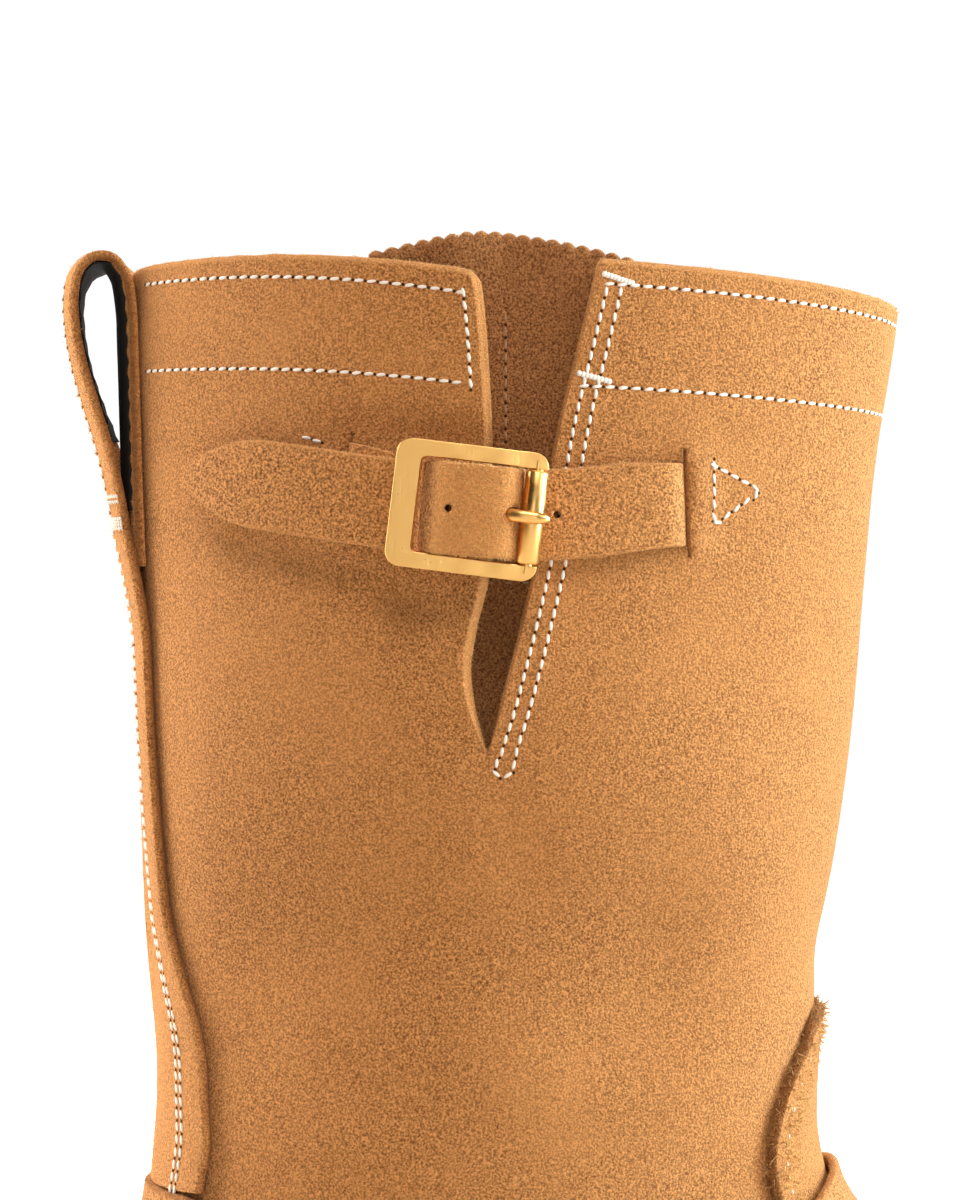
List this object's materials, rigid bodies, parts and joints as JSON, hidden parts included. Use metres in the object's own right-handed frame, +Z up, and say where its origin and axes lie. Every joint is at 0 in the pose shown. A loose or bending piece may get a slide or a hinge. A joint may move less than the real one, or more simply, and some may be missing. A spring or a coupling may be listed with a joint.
{
  "type": "engineer boot",
  "caption": "Pull-on engineer boot for the right foot in tan roughout leather, with a buckled strap across a slit at the collar, an instep strap, a pull loop and a stacked heel.",
  "frame": {"origin": "middle of the boot's bounding box in plan, on the floor plane that the heel and the forefoot stand on", "axes": "+X from heel to toe, +Y to the wearer's left (the inner side of this right boot), +Z up the shaft"},
  "size_m": [0.3097, 0.1105, 0.3044],
  "materials": {
    "roughout_leather": "tan roughout, flesh side out, matt nap",
    "gusset_leather": "darker tan roughout, matt",
    "sole_leather": "natural vegetable-tanned leather, satin edge",
    "sole_rubber": "dark brown rubber, matt",
    "brass": "solid brass, brushed satin"
  },
  "bodies": {
    "root": {"upper": "roughout_leather", "vamp": "roughout_leather", "heel_counter": "roughout_leather", "back_stay": "roughout_leather", "pull_loop": "roughout_leather", "gusset": "gusset_leather", "top_strap_billet": "roughout_leather", "top_strap_chape": "roughout_leather", "top_buckle_frame": "brass", "top_buckle_roller": "brass", "top_buckle_prong": "brass", "instep_strap_billet": "roughout_leather", "instep_strap_chape": "roughout_leather", "instep_buckle_frame": "brass", "instep_buckle_roller": "brass", "instep_buckle_prong": "brass", "welt": "sole_leather", "midsole": "sole_leather", "outsole": "sole_rubber", "insole": "sole_leather", "heel_base": "sole_leather", "top_lift": "sole_rubber"}
  },
  "joints": []
}
